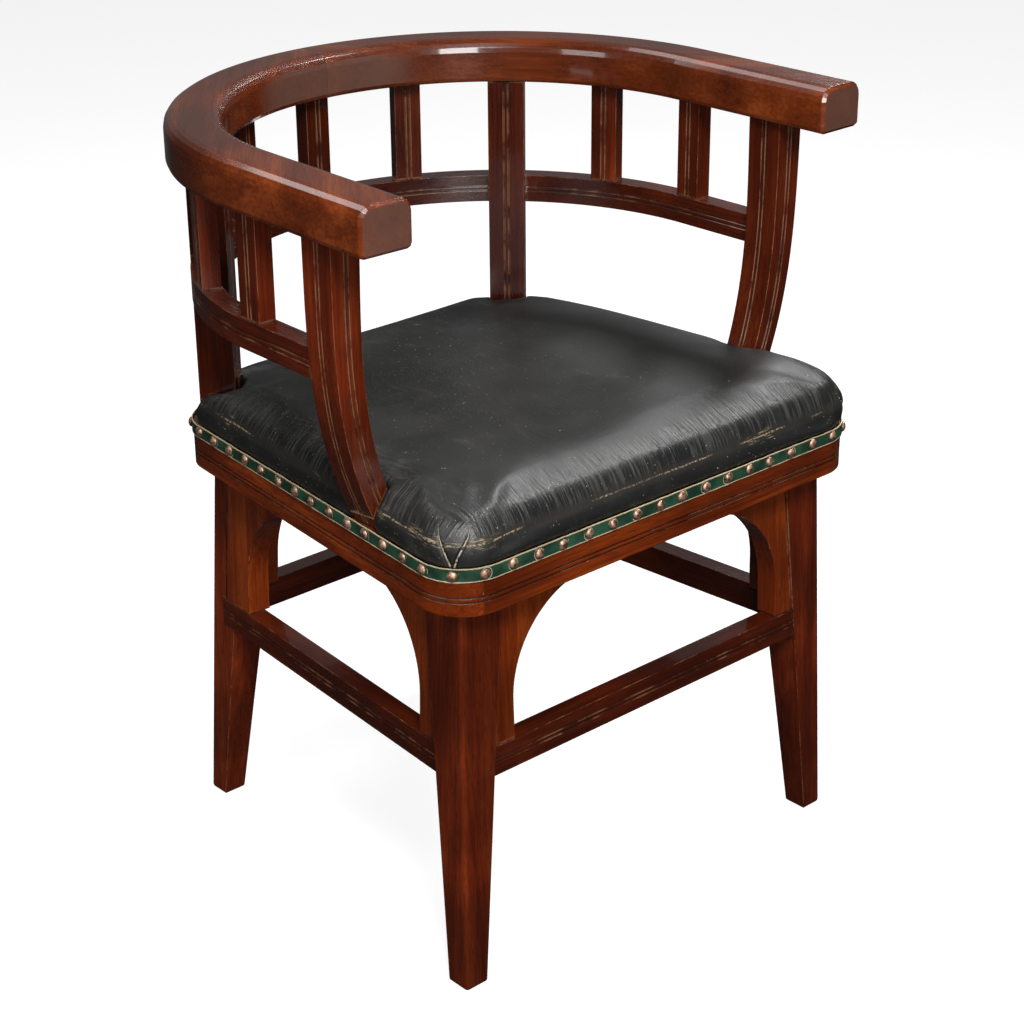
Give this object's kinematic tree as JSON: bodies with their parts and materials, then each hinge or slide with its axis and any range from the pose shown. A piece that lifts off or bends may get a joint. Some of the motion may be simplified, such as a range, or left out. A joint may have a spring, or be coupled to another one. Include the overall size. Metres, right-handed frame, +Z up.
{
  "type": "captains chair",
  "caption": "Low wooden armchair with a horseshoe arm rail on slats and curved front posts, a stuffed leather seat with a nailed band, arched brackets and splayed legs joined by stretchers.",
  "frame": {"origin": "on the floor, under the middle of the chair's width and depth", "axes": "+Z up, +X to the sitter's left, the chair faces -Y"},
  "size_m": [0.6144, 0.5546, 0.76],
  "materials": {
    "frame_wood": "dark red-brown polish with open highlights, worn on the arrises",
    "seat_leather": "black leather, creased and worn to a greyish sheen",
    "band_cloth": "woven green band with cream edges",
    "nail_brass": "antique copper-brown domed nails",
    "webbing": "plain woven jute straps",
    "hessian": "coarse jute cloth",
    "block_wood": "unpolished softwood"
  },
  "bodies": {
    "root": {"arch_front_left": "frame_wood", "arch_front_right": "frame_wood", "arch_left_front": "frame_wood", "arch_left_rear": "frame_wood", "arch_rear_left": "frame_wood", "arch_rear_right": "frame_wood", "arch_right_front": "frame_wood", "arch_right_rear": "frame_wood", "arm_rail_left": "frame_wood", "arm_rail_right": "frame_wood", "back_slat_centre": "frame_wood", "back_slat_left": "frame_wood", "back_slat_right": "frame_wood", "band_nails": "nail_brass", "corner_blocks": "block_wood", "front_post_left": "frame_wood", "front_post_right": "frame_wood", "leg_front_left": "frame_wood", "leg_front_right": "frame_wood", "leg_rear_left": "frame_wood", "leg_rear_right": "frame_wood", "mid_rail_back": "frame_wood", "mid_rail_left": "frame_wood", "mid_rail_right": "frame_wood", "rear_post_left": "frame_wood", "rear_post_right": "frame_wood", "seat_band": "band_cloth", "seat_cushion": "seat_leather", "seat_hessian": "hessian", "seat_rail_front": "frame_wood", "seat_rail_left": "frame_wood", "seat_rail_rear": "frame_wood", "seat_rail_right": "frame_wood", "side_slat_left_front": "frame_wood", "side_slat_left_rear": "frame_wood", "side_slat_right_front": "frame_wood", "side_slat_right_rear": "frame_wood", "stretcher_front": "frame_wood", "stretcher_left": "frame_wood", "stretcher_rear": "frame_wood", "stretcher_right": "frame_wood", "webbing_crosswise": "webbing", "webbing_lengthwise": "webbing"}
  },
  "joints": []
}
